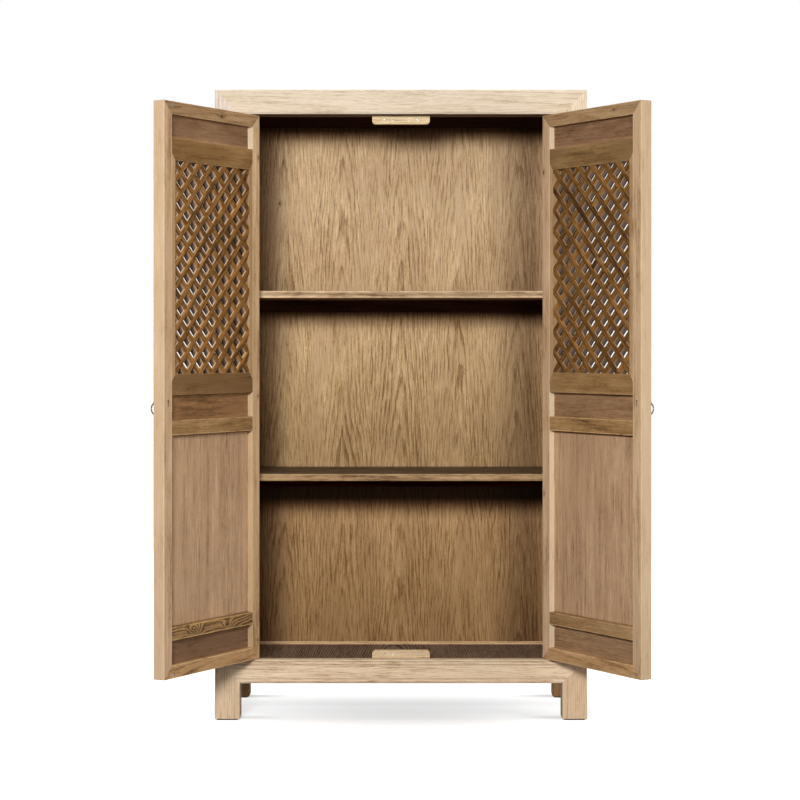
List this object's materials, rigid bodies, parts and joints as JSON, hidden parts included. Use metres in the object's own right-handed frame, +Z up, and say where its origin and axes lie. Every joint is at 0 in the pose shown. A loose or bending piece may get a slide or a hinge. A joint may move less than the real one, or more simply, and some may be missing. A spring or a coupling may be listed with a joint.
{
  "type": "two-door lattice cabinet",
  "caption": "Tall free-standing cabinet of bleached old timber with lattice and panel doors on pivot pins, fixed shelves and ring pulls.",
  "frame": {"origin": "on the floor, midway across the width, and midway between the foremost corner of the open doors and the rear face", "axes": "+Z up, +X to the viewer's right facing the doors' side, +Y from the front towards the back"},
  "size_m": [1.374, 0.8443, 1.83],
  "materials": {
    "case_wood": "bleached reclaimed timber, matt",
    "case_board_wood": "bleached reclaimed boards, matt",
    "dark_board_wood": "dark weathered boards, matt",
    "shelf_wood": "bleached reclaimed timber, matt",
    "stile_wood": "pale planed timber, matt",
    "door_rail_wood": "golden brown timber with strong figure, matt",
    "lattice_wood": "brown timber slats, matt",
    "door_panel_wood": "greyed pinkish brown boards, matt",
    "pull_iron": "dark patinated metal, satin",
    "catch_steel": "bright plated disc",
    "glide_rubber": "dark felt or rubber pad"
  },
  "bodies": {
    "cabinet": {"front_left_post": "case_wood", "front_right_post": "case_wood", "rear_left_post": "case_wood", "rear_right_post": "case_wood", "top_front_rail": "case_wood", "top_rear_rail": "case_wood", "top_left_rail": "case_wood", "top_right_rail": "case_wood", "bottom_front_rail": "case_wood", "bottom_rear_rail": "case_wood", "bottom_left_rail": "case_wood", "bottom_right_rail": "case_wood", "top_panel": "case_board_wood", "ceiling_panel": "dark_board_wood", "floor_panel": "dark_board_wood", "left_side_panel": "case_board_wood", "right_side_panel": "case_board_wood", "back_panel": "case_board_wood", "upper_shelf": "shelf_wood", "lower_shelf": "shelf_wood", "upper_shelf_bearers": "shelf_wood", "lower_shelf_bearers": "shelf_wood", "upper_catch_block": "case_wood", "lower_catch_block": "case_wood", "catch_magnets": "catch_steel", "foot_glides": "glide_rubber"},
    "left_door": {"left_door_hinge_stile": "stile_wood", "left_door_free_stile": "stile_wood", "left_door_top_rail": "door_rail_wood", "left_door_bottom_rail": "door_rail_wood", "left_door_lattice_top_rail": "door_rail_wood", "left_door_lattice_bottom_rail": "door_rail_wood", "left_door_mid_rail": "door_rail_wood", "left_door_lower_rail": "door_rail_wood", "left_door_lattice_side_strips": "stile_wood", "left_door_lattice_inner_slats": "lattice_wood", "left_door_lattice_outer_slats": "lattice_wood", "left_door_main_panel": "door_panel_wood", "left_door_small_panels": "door_panel_wood", "left_door_pivot_pins": "pull_iron", "left_door_strike_discs": "catch_steel", "left_door_pull_staple": "pull_iron"},
    "left_ring": {"left_pull_ring": "pull_iron"},
    "right_door": {"right_door_hinge_stile": "stile_wood", "right_door_free_stile": "stile_wood", "right_door_top_rail": "door_rail_wood", "right_door_bottom_rail": "door_rail_wood", "right_door_lattice_top_rail": "door_rail_wood", "right_door_lattice_bottom_rail": "door_rail_wood", "right_door_mid_rail": "door_rail_wood", "right_door_lower_rail": "door_rail_wood", "right_door_lattice_side_strips": "stile_wood", "right_door_lattice_inner_slats": "lattice_wood", "right_door_lattice_outer_slats": "lattice_wood", "right_door_main_panel": "door_panel_wood", "right_door_small_panels": "door_panel_wood", "right_door_pivot_pins": "pull_iron", "right_door_strike_discs": "catch_steel", "right_door_pull_staple": "pull_iron"},
    "right_ring": {"right_pull_ring": "pull_iron"}
  },
  "joints": [
    {"name": "left_door_swing", "type": "hinge", "parent": "cabinet", "child": "left_door", "pos_m": [-0.4445, -0.02508, 0.915], "axis": [0, 0, 1], "range_deg": [-10, 120]},
    {"name": "left_ring_swing", "type": "hinge", "parent": "left_door", "child": "left_ring", "pos_m": [-0.67327, -0.38433, 0.9303], "axis": [0.5, 0.866, 0], "range_deg": [-5, 110]},
    {"name": "right_door_swing", "type": "hinge", "parent": "cabinet", "child": "right_door", "pos_m": [0.4445, -0.02508, 0.915], "axis": [0, 0, -1], "range_deg": [-10, 121.3]},
    {"name": "right_ring_swing", "type": "hinge", "parent": "right_door", "child": "right_ring", "pos_m": [0.68136, -0.37905, 0.9303], "axis": [0.5195, -0.8545, 0], "range_deg": [-5, 110]}
  ]
}
